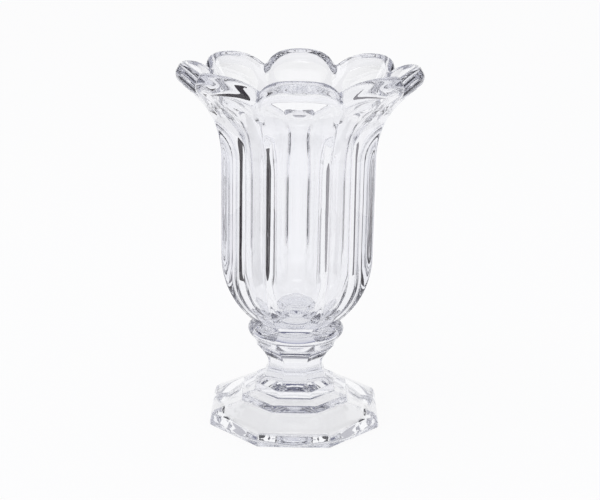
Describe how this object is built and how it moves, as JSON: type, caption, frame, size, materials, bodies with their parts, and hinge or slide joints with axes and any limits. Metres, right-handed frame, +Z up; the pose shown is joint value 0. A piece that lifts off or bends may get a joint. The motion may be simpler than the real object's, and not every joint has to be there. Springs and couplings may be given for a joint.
{
  "type": "footed glass flower vase",
  "caption": "Clear glass flower vase: a thick fluted tulip bowl with a scalloped petal rim, on a lobed collar, a waisted stem and a stepped foot with flat sides.",
  "frame": {"origin": "on the table, at the centre of the foot's underside", "axes": "+Z up the vase's axis towards the mouth; a petal, a flute and a side of the foot face -Y"},
  "size_m": [0.167, 0.167, 0.253],
  "materials": {
    "clear_glass": "fire-polished clear glass"
  },
  "bodies": {
    "root": {"bowl": "clear_glass", "collar": "clear_glass", "stem": "clear_glass", "foot": "clear_glass"}
  },
  "joints": []
}
